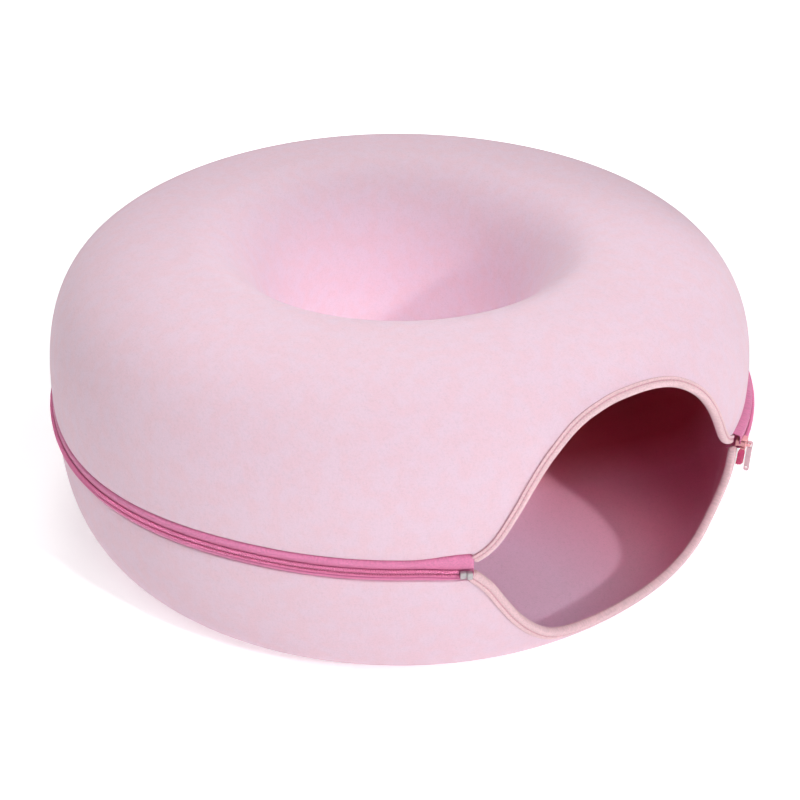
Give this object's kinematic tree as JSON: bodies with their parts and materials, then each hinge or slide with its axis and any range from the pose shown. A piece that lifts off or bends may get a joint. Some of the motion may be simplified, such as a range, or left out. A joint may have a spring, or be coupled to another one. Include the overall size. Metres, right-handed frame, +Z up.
{
  "type": "donut cat bed",
  "caption": "Hollow felt ring for a cat to lie in, with a well through the middle, a bound entrance at the front and a zip round its widest line.",
  "frame": {"origin": "On the floor, on the upright axis of the ring.", "axes": "+Z up along the axis of the ring and its well; -Y out through the middle of the entrance."},
  "size_m": [0.4992, 0.4919, 0.1944],
  "materials": {
    "felt": "soft needled felt, pale pink, fine short fibres",
    "binding": "folded ribbed tape, peach pink, with a row of stitches",
    "zip_tape": "fine herringbone woven tape, rose pink",
    "zip_coil": "nylon coil, rose pink, slight shine",
    "slider_paint": "satin salmon paint",
    "pull_paint": "satin pale pink paint",
    "stop_metal": "dull pressed metal"
  },
  "bodies": {
    "root": {"shell_upper": "felt", "shell_lower": "felt", "binding_upper": "binding", "binding_lower": "binding", "zip_tape_upper": "zip_tape", "zip_tape_lower": "zip_tape", "zip_tail": "zip_tape", "zip_coil_upper": "zip_coil", "zip_coil_lower": "zip_coil", "zip_slider": "slider_paint", "zip_pull": "pull_paint", "zip_stop": "stop_metal"}
  },
  "joints": []
}
